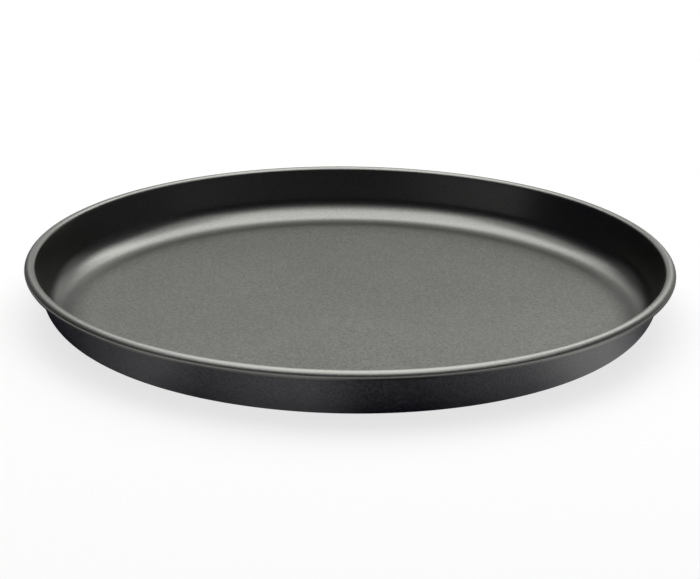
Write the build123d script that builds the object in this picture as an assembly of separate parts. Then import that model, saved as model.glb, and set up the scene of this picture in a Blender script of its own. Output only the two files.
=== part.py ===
# Pizza pan: one pressed steel sheet, the wire that its rim is rolled round, and a coat on each face.
# Millimetres, +Z up. The origin is the centre of the underside, and Z is the axis of the pan.

import math
import os

from build123d import *

# Overall sizes
overall_diameter = 320.0  # across the rim
overall_height = 27.5  # from the underside to the top of the rim

# Pressed sheet
sheet_thickness = 0.6
wall_lean = 16.0  # degrees that the wall leans outward from upright
floor_corner_radius = 15.0  # inside the pan, where the floor turns up into the wall

# Coats
inner_coat_thickness = 0.1
outer_coat_thickness = 0.1

# Rolled rim
wire_diameter = 2.2
wire_clearance = 0.3  # between the wire and the roll round it
wire_end_gap = 0.8  # between the two cut ends of the wire
crown_radius = 3.5  # outside the roll, from its crest outward, where it is flatter than the wire
crown_turn = 54.0  # degrees that the crown turns down from the crest before the tighter nose
cut_edge_gap = 0.25  # between the cut edge and the wall

# Offsets of the two coated faces from the middle of the sheet: the cooking side is the positive one.
# The cooking side is also the outside of the roll, and the underside lines the inside of the roll.
half_sheet = sheet_thickness / 2
inner_face_offset = half_sheet + inner_coat_thickness
outer_face_offset = -half_sheet - outer_coat_thickness

# Bend radii at the middle of the sheet
corner_line_radius = floor_corner_radius + inner_face_offset
seat_line_radius = wire_diameter / 2 + wire_clearance - outer_face_offset
crown_line_radius = crown_radius - inner_face_offset

wall_angle = math.radians(wall_lean)
crown_angle = math.radians(crown_turn)

# The nose takes what the crown leaves of the drop from the crest to the edge, which passes close under
# the wire: the whole drop is the seat's diameter.
crown_drop = crown_line_radius * (1 - math.cos(crown_angle))
nose_line_radius = (2 * seat_line_radius - crown_drop) / (1 + math.cos(crown_angle))
nose_setout = (crown_line_radius - nose_line_radius) * math.sin(crown_angle)

# Centre of the wire's section, which is the centre of the seat's arc
wire_height = overall_height - inner_face_offset - seat_line_radius
wire_ring_radius = overall_diameter / 2 - inner_face_offset - nose_line_radius - nose_setout

# The wall runs straight from the corner's arc up to the seat's arc, and sets the size of the floor.
floor_line_height = -outer_face_offset
wall_top_radius = wire_ring_radius - seat_line_radius * math.cos(wall_angle)
wall_top_height = wire_height + seat_line_radius * math.sin(wall_angle)
wall_foot_height = floor_line_height + corner_line_radius * (1 - math.sin(wall_angle))
wall_rise = wall_top_height - wall_foot_height
wall_length = wall_rise / math.cos(wall_angle)
wall_foot_radius = wall_top_radius - wall_rise * math.tan(wall_angle)
floor_radius = wall_foot_radius - corner_line_radius * math.cos(wall_angle)

# The cut edge stops short of the wall, which is nearest to it at the edge's upper corner.
edge_top_height = wire_height - seat_line_radius - outer_face_offset
wall_setback = (wall_top_height - edge_top_height) * math.tan(wall_angle)
wall_outside_radius = wall_top_radius - wall_setback - outer_face_offset / math.cos(wall_angle)
cut_edge_radius = wall_outside_radius + cut_edge_gap / math.cos(wall_angle)
edge_length = wire_ring_radius + nose_setout - cut_edge_radius


# Section line through the sheet at one offset from its middle: from the axis along the floor, up the
# wall, over the wire and in under it. Drawn with X as the radius and Y as the height.
def sheet_line(offset):
    start = (0, floor_line_height + offset)
    floor = Line(start, (floor_radius, floor_line_height + offset))
    corner = JernArc(floor @ 1, floor % 1, corner_line_radius - offset, 90 - wall_lean)
    wall = PolarLine(corner @ 1, wall_length, direction=corner % 1)
    seat = JernArc(wall @ 1, wall % 1, seat_line_radius + offset, wall_lean - 90)
    crown = JernArc(seat @ 1, seat % 1, crown_line_radius + offset, -crown_turn)
    nose = JernArc(crown @ 1, crown % 1, nose_line_radius + offset, crown_turn - 180)
    edge = PolarLine(nose @ 1, edge_length, direction=nose % 1)
    return [floor, corner, wall, seat, crown, nose, edge]


# Solid of turning between two offsets of the section line
def turned_layer(low_offset, high_offset):
    low_line = sheet_line(low_offset)
    high_line = sheet_line(high_offset)
    cut_end = Line(low_line[-1] @ 1, high_line[-1] @ 1)
    axis_end = Line(low_line[0] @ 0, high_line[0] @ 0)
    section = make_face(low_line + high_line + [cut_end, axis_end])
    return revolve(Plane.XZ * section, Axis.Z)


# Steel sheet: flat floor, rounded corner, leaning wall and rolled rim in one thickness
def pan_shell():
    return turned_layer(-half_sheet, half_sheet)


# Non-stick coat: covers the floor and the wall, goes over the roll and ends at the cut edge
def inner_coat():
    return turned_layer(half_sheet, inner_face_offset)


# Underside coat: covers the base and the outside of the wall, and lines the inside of the roll
def outer_coat():
    return turned_layer(outer_face_offset, -half_sheet)


# Hoop of round wire inside the roll, with its ends left a little apart at the back of the pan
def rim_wire():
    gap_turn = math.degrees(wire_end_gap / wire_ring_radius)
    section = Pos(wire_ring_radius, wire_height) * Circle(wire_diameter / 2)
    hoop = revolve(Plane.XZ * section, Axis.Z, 360 - gap_turn)
    return Rot(0, 0, 90 + gap_turn / 2) * hoop


nodes = {
    "pan_shell": pan_shell(),
    "rim_wire": rim_wire(),
    "inner_coat": inner_coat(),
    "outer_coat": outer_coat(),
}

os.makedirs("parts", exist_ok=True)
for name, solid in nodes.items():
    export_step(solid, f"parts/{name}.step")

print(f"flat floor diameter {2 * floor_radius:.2f}, wall length {wall_length:.2f}")
print(f"wire centre at radius {wire_ring_radius:.2f}, height {wire_height:.2f}")
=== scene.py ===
# Round pizza pan: the finished look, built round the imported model.
# Metres. Z is the axis of the pan, z = 0 is the surface it stands on, +Y is the back.

import math

import bmesh
import bpy
from mathutils import Matrix, Vector


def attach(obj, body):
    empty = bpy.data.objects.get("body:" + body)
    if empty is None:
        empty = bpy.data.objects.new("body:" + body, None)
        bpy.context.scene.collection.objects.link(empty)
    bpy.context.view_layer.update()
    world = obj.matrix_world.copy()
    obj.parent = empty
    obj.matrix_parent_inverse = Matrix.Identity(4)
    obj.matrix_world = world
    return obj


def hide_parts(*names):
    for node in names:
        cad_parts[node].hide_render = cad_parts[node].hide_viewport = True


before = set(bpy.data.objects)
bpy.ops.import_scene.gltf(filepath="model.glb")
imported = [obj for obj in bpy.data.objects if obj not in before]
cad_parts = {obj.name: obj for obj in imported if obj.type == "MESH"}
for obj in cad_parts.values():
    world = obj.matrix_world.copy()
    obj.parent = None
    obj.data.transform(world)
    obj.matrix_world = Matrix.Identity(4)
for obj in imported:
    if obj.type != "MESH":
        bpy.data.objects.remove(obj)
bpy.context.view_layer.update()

print("frame loaded:", ", ".join(sorted(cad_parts)))


# The pressed pan. Every layer below is turned from the same section.
pan = {
    "diameter": 0.320,  # across the rim
    "height": 0.0275,
    "sheet": 0.0006,
    "coat": 0.0001,  # on each face
    "wallLean": 16,  # degrees outward from upright
    "cornerRadius": 0.015,  # inside, floor to wall
    "wire": 0.0022,  # wire diameter
    "wireRoom": 0.0003,  # between the wire and the roll
    "wireGap": 0.0008,  # between the two ends of the wire
    "crownRadius": 0.0035,  # outside the roll, from its crest outward
    "crownTurn": 54,  # degrees of crown before the tighter nose
    "edgeGap": 0.00025,  # cut edge to wall
}

# How finely the pan is turned
turning = {
    "around": 360,
    "floorRings": 14,
    "cornerSteps": 28,
    "wallSteps": 8,
    "seatSteps": 20,
    "crownSteps": 16,
    "noseSteps": 28,
    "edgeSteps": 2,
    "wireSides": 32,
    "axisWidth": 1e-7,  # a point nearer to the axis than this lies on it
    "crispAngle": 40,  # degrees, edges sharper than this aren't smoothed
}


# Bend lines and lengths of the section, at the middle of the sheet
def sectionSizes():
    wall = math.radians(pan["wallLean"])
    turn = math.radians(pan["crownTurn"])
    face = pan["sheet"] / 2 + pan["coat"]
    corner = pan["cornerRadius"] + face
    seat = pan["wire"] / 2 + pan["wireRoom"] + face
    crown = pan["crownRadius"] - face
    nose = (2 * seat - crown * (1 - math.cos(turn))) / (1 + math.cos(turn))
    setout = (crown - nose) * math.sin(turn)
    wireHeight = pan["height"] - face - seat
    wireRing = pan["diameter"] / 2 - face - nose - setout
    topRadius = wireRing - seat * math.cos(wall)
    topHeight = wireHeight + seat * math.sin(wall)
    rise = topHeight - face - corner * (1 - math.sin(wall))
    footRadius = topRadius - rise * math.tan(wall)
    setback = (topHeight - (wireHeight - seat + face)) * math.tan(wall)
    edgeEnd = topRadius - setback + (face + pan["edgeGap"]) / math.cos(wall)
    return {
        "wall": wall,
        "turn": turn,
        "face": face,
        "corner": corner,
        "seat": seat,
        "crown": crown,
        "nose": nose,
        "wireHeight": wireHeight,
        "wireRing": wireRing,
        "wallLength": rise / math.cos(wall),
        "floor": footRadius - corner * math.cos(wall),
        "edgeLength": wireRing + setout - edgeEnd,
    }


section = sectionSizes()


# Walks along the section: straights and arcs, each from where the last one ended
class Pen:
    def __init__(self, radius, height):
        self.at = Vector((radius, height))
        self.heading = 0.0
        self.points = [self.at.copy()]

    def straight(self, length, steps):
        way = Vector((math.cos(self.heading), math.sin(self.heading)))
        for i in range(1, steps + 1):
            self.points.append(self.at + way * length * i / steps)
        self.at = self.points[-1]

    def bend(self, radius, turn, steps):
        side = Vector((-math.sin(self.heading), math.cos(self.heading)))
        middle = self.at + side * radius * math.copysign(1, turn)
        spoke = self.at - middle
        for i in range(1, steps + 1):
            self.points.append(middle + Matrix.Rotation(turn * i / steps, 2) @ spoke)
        self.at = self.points[-1]
        self.heading += turn


# Line through the sheet at one offset from its middle, from the axis to the cut edge
def sheetLine(offset):
    s = section
    pen = Pen(0, s["face"] + offset)
    pen.straight(s["floor"], turning["floorRings"])
    pen.bend(s["corner"] - offset, math.pi / 2 - s["wall"], turning["cornerSteps"])
    pen.straight(s["wallLength"], turning["wallSteps"])
    pen.bend(s["seat"] + offset, s["wall"] - math.pi / 2, turning["seatSteps"])
    pen.bend(s["crown"] + offset, -s["turn"], turning["crownSteps"])
    pen.bend(s["nose"] + offset, s["turn"] - math.pi, turning["noseSteps"])
    pen.straight(s["edgeLength"], turning["edgeSteps"])
    return pen.points


# Turns a bmesh into a smooth-shaded object, with its real corners left crisp
def meshPiece(name, shape):
    bmesh.ops.recalc_face_normals(shape, faces=shape.faces)
    crisp = math.radians(turning["crispAngle"])
    for edge in shape.edges:
        if len(edge.link_faces) == 2 and edge.calc_face_angle() > crisp:
            edge.smooth = False
    for face in shape.faces:
        face.smooth = True
    mesh = bpy.data.meshes.new(name)
    shape.to_mesh(mesh)
    shape.free()
    piece = bpy.data.objects.new(name, mesh)
    bpy.context.scene.collection.objects.link(piece)
    return piece


# Lathes a closed loop of (radius, height) points about Z. Points on the axis become one vertex.
def turnedMesh(name, loop, around):
    shape = bmesh.new()
    rings = []
    for radius, height in loop:
        if radius < turning["axisWidth"]:
            rings.append([shape.verts.new((0, 0, height))])
            continue
        ring = []
        for i in range(around):
            a = 2 * math.pi * i / around
            ring.append(shape.verts.new((radius * math.cos(a), radius * math.sin(a), height)))
        rings.append(ring)
    for here, there in zip(rings, rings[1:] + rings[:1]):
        if len(here) == 1 and len(there) == 1:
            continue
        for i in range(around):
            j = (i + 1) % around
            if len(here) == 1:
                shape.faces.new((here[0], there[i], there[j]))
            elif len(there) == 1:
                shape.faces.new((here[i], there[0], here[j]))
            else:
                shape.faces.new((here[i], there[i], there[j], here[j]))
    return meshPiece(name, shape)


def turnedLayer(name, lowOffset, highOffset):
    loop = sheetLine(lowOffset) + sheetLine(highOffset)[::-1]
    return turnedMesh(name, loop, turning["around"])


# Hoop of wire inside the roll, open at the back
def wireHoop(name):
    shape = bmesh.new()
    gap = pan["wireGap"] / section["wireRing"]
    sides = turning["wireSides"]
    rings = []
    for i in range(turning["around"] + 1):
        a = math.pi / 2 + gap / 2 + (2 * math.pi - gap) * i / turning["around"]
        ring = []
        for k in range(sides):
            b = 2 * math.pi * k / sides
            radius = section["wireRing"] + pan["wire"] / 2 * math.cos(b)
            height = section["wireHeight"] + pan["wire"] / 2 * math.sin(b)
            ring.append(shape.verts.new((radius * math.cos(a), radius * math.sin(a), height)))
        rings.append(ring)
    for here, there in zip(rings, rings[1:]):
        for k in range(sides):
            n = (k + 1) % sides
            shape.faces.new((here[k], here[n], there[n], there[k]))
    shape.faces.new(rings[0])
    shape.faces.new(rings[-1])
    return meshPiece(name, shape)


# One value in a material. Sums and products of values become Math nodes.
class Value:
    def __init__(self, tree, socket):
        self.tree = tree
        self.socket = socket

    def math(self, operation, *others, swap=False):
        terms = [self, *others]
        if swap:
            terms.reverse()
        settings = {"operation": operation}
        node = addNode(self.tree, "ShaderNodeMath", settings, dict(enumerate(terms)))
        return Value(self.tree, node.outputs[0])

    def __add__(self, other):
        return self.math("ADD", other)

    def __sub__(self, other):
        return self.math("SUBTRACT", other)

    def __rsub__(self, other):
        return self.math("SUBTRACT", other, swap=True)

    def __mul__(self, other):
        return self.math("MULTIPLY", other)

    __radd__ = __add__
    __rmul__ = __mul__


# Adds a node: its settings first, then the values or links of its sockets. A ramp's stops are
# pairs of a place and a tone.
def addNode(tree, kind, settings=None, sockets=None):
    node = tree.nodes.new(kind)
    for key, setting in (settings or {}).items():
        if key == "stops":
            ramp = node.color_ramp
            for i, (place, tone) in enumerate(setting):
                stop = ramp.elements[i] if i < 2 else ramp.elements.new(place)
                stop.position = place
                stop.color = (tone, tone, tone, 1)
        else:
            setattr(node, key, setting)
    for key, value in (sockets or {}).items():
        if isinstance(value, Value):
            tree.links.new(value.socket, node.inputs[key])
        else:
            node.inputs[key].default_value = value
    return node


# New material with an empty tree and its own coordinates
def newMaterial(name):
    material = bpy.data.materials.new(name)
    material.use_nodes = True
    tree = material.node_tree
    tree.nodes.clear()
    coords = addNode(tree, "ShaderNodeTexCoord")
    return material, tree, Value(tree, coords.outputs["Object"])


def axesOf(tree, place):
    node = addNode(tree, "ShaderNodeSeparateXYZ", None, {0: place})
    return [Value(tree, output) for output in node.outputs]


# Noise that swings about zero, by half at most. Added to 0.5 it goes from the dark to the light.
def ripple(tree, place, scale, detail, rough=0.5):
    node = addNode(tree, "ShaderNodeTexNoise", {"noise_dimensions": "3D"}, {
        "Vector": place, "Scale": scale, "Detail": detail, "Roughness": rough})
    return Value(tree, node.outputs["Fac"]) - 0.5


# Sockets 6 and 7 of a Mix node are its two colours
def mixColour(tree, factor, low, high):
    node = addNode(tree, "ShaderNodeMix", {"data_type": "RGBA"}, {
        0: factor, 6: (*low, 1), 7: (*high, 1)})
    return Value(tree, node.outputs[2])


# Rises smoothly from 0 to 1 as the value goes from low to high
def stepped(tree, value, low, high):
    node = addNode(tree, "ShaderNodeMapRange", {"interpolation_type": "SMOOTHSTEP"}, {
        "Value": value, "From Min": low, "From Max": high})
    return Value(tree, node.outputs[0])


def bumped(tree, height, distance, strength):
    node = addNode(tree, "ShaderNodeBump", None, {
        "Strength": strength, "Distance": distance, "Height": height})
    return Value(tree, node.outputs["Normal"])


def shaderOf(tree, kind, sockets):
    return Value(tree, addNode(tree, kind, None, sockets).outputs[0])


def mixShader(tree, factor, low, high):
    return shaderOf(tree, "ShaderNodeMixShader", {0: factor, 1: low, 2: high})


def toSurface(tree, shader):
    addNode(tree, "ShaderNodeOutputMaterial", None, {"Surface": shader})


# Satin graphite non-stick: a metallic-flake film, almost no diffuse light
nonStick = {
    "dark": (0.093, 0.094, 0.088),
    "light": (0.245, 0.246, 0.231),
    "edgeTint": (0.6, 0.6, 0.6, 1),  # of the reflection at a grazing view
    "floorRoughness": 0.49,
    "floorFades": (0.126, 0.144),  # metres from the axis, where the duller floor ends
    "roughness": 0.29,  # corner and wall
    "rimStarts": (0.1542, 0.1562),  # metres from the axis, where the rim's painted highlight and duller finish begin
    "rimRoughness": 0.40,
    "paintedRimHighlight": 0.36,  # how much lighter the rim's colour is made, a painted highlight that brightens its reflection
    "mottle": 14,  # per metre, slow patches
    "mottleShade": 0.2,
    "mottleRoughness": 0.02,
    "speckle": 850,  # per metre, fine flake
    "floorFlake": 1.6,  # contrast of the flake on the floor
    "wallFlake": 0.5,  # and on the corner, wall and rim
    "flakeRoughness": 0.04,
    "grain": 0.000015,
    "grainStrength": 0.6,
    "wallSmoothing": 0.7,  # how much of the grain the corner, wall and rim lose
}


def nonStickMaterial():
    n = nonStick
    material, tree, place = newMaterial("nonStickSatin")
    slow = ripple(tree, place, n["mottle"], detail=3)
    fine = ripple(tree, place, n["speckle"], detail=2, rough=0.6)
    x, y, _ = axesOf(tree, place)
    radius = (x * x + y * y).math("SQRT")
    wall = stepped(tree, radius, *n["floorFades"])
    rim = stepped(tree, radius, *n["rimStarts"])
    flake = fine * (n["floorFlake"] + (n["wallFlake"] - n["floorFlake"]) * wall)
    # The rim's lighter colour is a painted highlight: it brightens the reflection on the roll
    shade = flake + slow * n["mottleShade"] + rim * n["paintedRimHighlight"] + 0.5
    rough = n["floorRoughness"] + (n["roughness"] - n["floorRoughness"]) * wall
    rough = rough + (n["rimRoughness"] - n["roughness"]) * rim
    rough = rough + fine * n["flakeRoughness"] + slow * n["mottleRoughness"]
    relief = fine * (1 - n["wallSmoothing"] * wall)
    toSurface(tree, shaderOf(tree, "ShaderNodeBsdfPrincipled", {
        "Base Color": mixColour(tree, shade, n["dark"], n["light"]),
        "Metallic": 1,
        "Roughness": rough,
        "Specular Tint": n["edgeTint"],
        "Normal": bumped(tree, relief, n["grain"], n["grainStrength"])}))
    return material


# Underside: black heat-resistant coat with a pebbled grain
underside = {
    "dark": (0.004, 0.004, 0.006),
    "light": (0.043, 0.042, 0.052),
    "sheen": 1,
    "roughness": 0.40,
    "pebble": 950,  # per metre
    "pebbleShade": 3.6,
    "pebbleRoughness": 0.12,
    "mottle": 18,  # per metre
    "mottleShade": 0.3,
    "mottleRoughness": -0.04,
    "grain": 0.00022,
    "grainStrength": 0.8,
}


def undersideMaterial():
    u = underside
    material, tree, place = newMaterial("undersideBlack")
    pebble = ripple(tree, place, u["pebble"], detail=2, rough=0.55)
    slow = ripple(tree, place, u["mottle"], detail=3)
    shade = pebble * u["pebbleShade"] + slow * u["mottleShade"] + 0.5
    rough = pebble * u["pebbleRoughness"] + slow * u["mottleRoughness"] + u["roughness"]
    toSurface(tree, shaderOf(tree, "ShaderNodeBsdfPrincipled", {
        "Base Color": mixColour(tree, shade, u["dark"], u["light"]),
        "Roughness": rough,
        "Specular IOR Level": u["sheen"],
        "Normal": bumped(tree, pebble, u["grain"], u["grainStrength"])}))
    return material


# Bare steel of the sheet's cut edge and of the wire
steel = {
    "dark": (0.36, 0.36, 0.37),
    "light": (0.48, 0.48, 0.49),
    "sheetRoughness": 0.40,
    "sheetStain": 60,  # per metre
    "wireRoughness": 0.32,
    "wireStain": 140,  # per metre
    "scratch": 12,  # times finer than the stain
    "scratchRoughness": 0.14,
    "grain": 0.00001,
    "grainStrength": 0.5,
}


def steelMaterial(name, roughness, stainScale):
    material, tree, place = newMaterial(name)
    stain = ripple(tree, place, stainScale, detail=4, rough=0.6)
    scratch = ripple(tree, place, stainScale * steel["scratch"], detail=3, rough=0.7)
    toSurface(tree, shaderOf(tree, "ShaderNodeBsdfPrincipled", {
        "Base Color": mixColour(tree, stain + 0.5, steel["dark"], steel["light"]),
        "Metallic": 1,
        "Roughness": scratch * steel["scratchRoughness"] + roughness,
        "Normal": bumped(tree, scratch, steel["grain"], steel["grainStrength"])}))
    return material


# The four layers of the pan
halfSheet = pan["sheet"] / 2
layers = [
    (turnedLayer("nonStickCoat", halfSheet, section["face"]),
     "inner_coat", "inner_finish", nonStickMaterial()),
    (turnedLayer("undersideCoat", -section["face"], -halfSheet),
     "outer_coat", "outer_finish", undersideMaterial()),
    (turnedLayer("pressedSheet", -halfSheet, halfSheet), "pan_shell", "sheet_steel",
     steelMaterial("coldRolledSheet", steel["sheetRoughness"], steel["sheetStain"])),
    (wireHoop("rimWire"), "rim_wire", "wire_steel",
     steelMaterial("drawnWire", steel["wireRoughness"], steel["wireStain"])),
]
for piece, node, slot, material in layers:
    piece.data.materials.append(material)
    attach(piece, "root")
    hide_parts(node)
print("pan built:", ", ".join(layer[0].name for layer in layers))


# Studio: pale floor and white all round for the camera. Glossy reflections see a darkened room with
# white cards in it, in tones from dim (0) to white (1). Places round the pan are in degrees from
# the front, right positive, with the back at 180.
studio = {
    "floorSize": 6,
    "floorCells": 8,  # along each side
    "floorWhite": 0.75,  # how much of the floor that the camera sees is plain white
    "paint": ((0.79, 0.79, 0.79), (0.81, 0.81, 0.81)),
    "paintMottle": 3,  # per metre
    # Tones of the floor as reflections see it: painted shade and light of the table, darker near
    # the pan where its own shadow falls
    "nearFloor": [
        (-180, 0.25), (-126, 0.25), (-114, 0), (-78, 0), (-64, 0.03), (-52, 0.2), (-40, 0.43),
        (-28, 0.17), (-17, 0.37), (-7, 0.42), (3, 0.05), (13, 0.02), (24, 0.18), (36, 0.41),
        (48, 1), (58, 1), (66, 0.56), (75, 0.14), (86, 0.24), (180, 0.25),
    ],
    "farFloor": [
        (-180, 0.6), (-126, 0.6), (-114, 1), (-18, 1), (0, 0.95), (18, 1), (114, 1),
        (126, 0.6), (180, 0.6),
    ],
    "nearEnds": (0.18, 0.26),  # metres from the axis, where the near floor gives way to the far
    "underPan": (0.130, 0.165),  # metres from the axis, where the shade under the pan ends
    # Cards that stand round the pan in two rows: where each one ends, and its tone
    "lowCards": [
        (-168, 1), (-156, 0.59), (-70, 0), (-25, 0.41), (25, 0.16), (70, 0.21), (130, 0.05),
        (156, 0.63), (180, 1),
    ],
    "highCards": [
        (-168, 0.45), (-156, 1), (-130, 0.16), (70, 0), (130, 0.05), (156, 0.48), (168, 1),
        (180, 0.45),
    ],
    "cardTops": (0.17, 0.50),  # of the two rows, as sines of the elevation
    "cardEdge": 2,  # degrees of blur on each side of the line between two cards
    "topEdge": 0.03,  # and on each side of a row's top, as a sine
    "dim": (0.004, 0.003, 0.012),
    "fill": 0.06,  # world light on everything else
}


# Tone by direction round the pan, from stops in degrees
def roundTone(tree, x, y, stops):
    turn = x.math("ARCTAN2", y * -1) * (0.5 / math.pi) + 0.5
    places = [(degrees / 360 + 0.5, tone) for degrees, tone in stops]
    ramp = addNode(tree, "ShaderNodeValToRGB", {"stops": places}, {0: turn})
    return Value(tree, ramp.outputs[0])


def cardStops(cards):
    stops = []
    start = -180
    for end, tone in cards:
        stops += [(start + studio["cardEdge"], tone), (end - studio["cardEdge"], tone)]
        start = end
    return stops


def emission(tree, colour):
    return shaderOf(tree, "ShaderNodeEmission", {"Color": (*colour, 1), "Strength": 1})


def background(tree, colour, strength):
    return shaderOf(tree, "ShaderNodeBackground", {"Color": (*colour, 1), "Strength": strength})


def lightPath(tree, *names):
    node = addNode(tree, "ShaderNodeLightPath")
    return [Value(tree, node.outputs[name]) for name in names]


def buildFloor():
    shape = bmesh.new()
    cells = studio["floorCells"]
    line = [studio["floorSize"] * (i / cells - 0.5) for i in range(cells + 1)]
    grid = [[shape.verts.new((x, y, 0)) for x in line] for y in line]
    for j in range(cells):
        for i in range(cells):
            shape.faces.new((grid[j][i], grid[j][i + 1], grid[j + 1][i + 1], grid[j + 1][i]))
    floor = meshPiece("studioFloor", shape)
    material, tree, place = newMaterial("paleFloor")
    seen, glossy = lightPath(tree, "Is Camera Ray", "Is Glossy Ray")
    x, y, _ = axesOf(tree, place)
    radius = (x * x + y * y).math("SQRT")
    # Floor tone for reflections: painted shade and light round the pan, with painted shadow under
    # it
    near = roundTone(tree, x, y, studio["nearFloor"])
    far = roundTone(tree, x, y, studio["farFloor"])
    tone = near + (far - near) * stepped(tree, radius, *studio["nearEnds"])
    tone = tone * stepped(tree, radius, *studio["underPan"])
    mottle = ripple(tree, place, studio["paintMottle"], detail=2) + 0.5
    matte = shaderOf(tree, "ShaderNodeBsdfPrincipled", {
        "Base Color": mixColour(tree, mottle, *studio["paint"]),
        "Roughness": 1,
        "Specular IOR Level": 0})
    white = emission(tree, (1, 1, 1))
    plain = mixShader(tree, seen * studio["floorWhite"], matte, white)
    mirrored = mixShader(tree, tone, emission(tree, studio["dim"]), white)
    toSurface(tree, mixShader(tree, glossy, plain, mirrored))
    floor.data.materials.append(material)


def buildWorld():
    world = bpy.data.worlds.new("studio")
    bpy.context.scene.world = world
    world.use_nodes = True
    tree = world.node_tree
    tree.nodes.clear()
    seen, glossy, clear = lightPath(tree, "Is Camera Ray", "Is Glossy Ray", "Is Transmission Ray")
    coords = addNode(tree, "ShaderNodeTexCoord")
    x, y, z = axesOf(tree, Value(tree, coords.outputs["Generated"]))
    overLow, overHigh = [
        stepped(tree, z, top - studio["topEdge"], top + studio["topEdge"])
        for top in studio["cardTops"]]
    low = roundTone(tree, x, y, cardStops(studio["lowCards"])) * (1 - overLow)
    high = roundTone(tree, x, y, cardStops(studio["highCards"])) * overLow * (1 - overHigh)
    white = background(tree, (1, 1, 1), 1)
    room = mixShader(tree, low + high, background(tree, studio["dim"], 1), white)
    lit = mixShader(tree, glossy, background(tree, (1, 1, 1), studio["fill"]), room)
    shown = mixShader(tree, seen + clear, lit, white)
    addNode(tree, "ShaderNodeOutputWorld", None, {"Surface": shown})


buildFloor()
buildWorld()


# Softboxes: where each one is, its size and its radiance. Those under "down" face the floor, and
# the others face the pan.
lamps = {
    "down": {
        "overheadFront": {"at": (0, -0.675, 1.5), "size": (1.7, 0.45), "radiance": 0.97},
        "overheadBox": {"at": (0, 0, 1.5), "size": (1.7, 0.9), "radiance": 2.29},
        "overheadRear": {"at": (0, 0.675, 1.5), "size": (1.7, 0.45), "radiance": 2.74},
        "overheadBack": {"at": (0, 1.2, 1.5), "size": (1.7, 0.6), "radiance": 2.23},
        "overheadLeft": {"at": (-1.225, 0.2, 1.5), "size": (0.75, 1.6), "radiance": 0.72},
        "overheadRight": {"at": (1.225, 0.2, 1.5), "size": (0.75, 1.6), "radiance": 0.83},
    },
    "aimed": {
        "rightBox": {"at": (0.81, 0.97, 0.98), "size": (0.6, 0.5), "radiance": 1.44},
        "leftBox": {"at": (-0.81, 0.97, 0.98), "size": (0.6, 0.5), "radiance": 0.19},
        "backBox": {"at": (0, 1.58, 1.23), "size": (1, 0.5), "radiance": 0.77},
        "backRightBox": {"at": (0.74, 1.39, 1.23), "size": (0.85, 0.5), "radiance": 2.10},
        "backLeftBox": {"at": (-0.74, 1.39, 1.23), "size": (0.85, 0.5), "radiance": 1.35},
        "lowBackRight": {"at": (0.67, 1.85, 0.35), "size": (0.5, 0.45), "radiance": 0.97},
    },
}
wattsPerArea = 4  # of an area lamp, for a radiance of 1


def buildLamp(name, lamp, aimed):
    light = bpy.data.lights.new(name, "AREA")
    light.shape = "RECTANGLE"
    light.size, light.size_y = lamp["size"]
    light.energy = lamp["radiance"] * wattsPerArea * light.size * light.size_y
    holder = bpy.data.objects.new(name, light)
    holder.location = lamp["at"]
    if aimed:
        holder.rotation_euler = Vector(lamp["at"]).to_track_quat("Z", "Y").to_euler()
    holder.visible_camera = False
    bpy.context.scene.collection.objects.link(holder)


for way, group in lamps.items():
    for name, lamp in group.items():
        buildLamp(name, lamp, way == "aimed")
print("studio built:", sum(len(group) for group in lamps.values()), "softboxes")


# Camera at the photograph's angle, for a frame of 700 by 579
shot = {
    "elevation": 19.12,
    "distance": 1.232,
    "target": (0, 0, 0.0112),
    "lens": 127.70,  # millimetres, on a sensor 36 wide
    "lower": 0.051,  # degrees that the camera aims below the target
    "roll": 0.67,  # degrees
}


def buildCamera():
    lens = bpy.data.cameras.new("productCamera")
    lens.lens = shot["lens"]
    holder = bpy.data.objects.new("productCamera", lens)
    rise = math.radians(shot["elevation"])
    away = Vector((0, -math.cos(rise), math.sin(rise)))
    place = Matrix.Translation(Vector(shot["target"]) + shot["distance"] * away)
    tip = Matrix.Rotation(math.pi / 2 - rise - math.radians(shot["lower"]), 4, "X")
    roll = Matrix.Rotation(math.radians(shot["roll"]), 4, "Z")
    holder.matrix_world = place @ tip @ roll
    bpy.context.scene.collection.objects.link(holder)
    bpy.context.scene.camera = holder


buildCamera()
bpy.context.scene.view_settings.view_transform = "Standard"
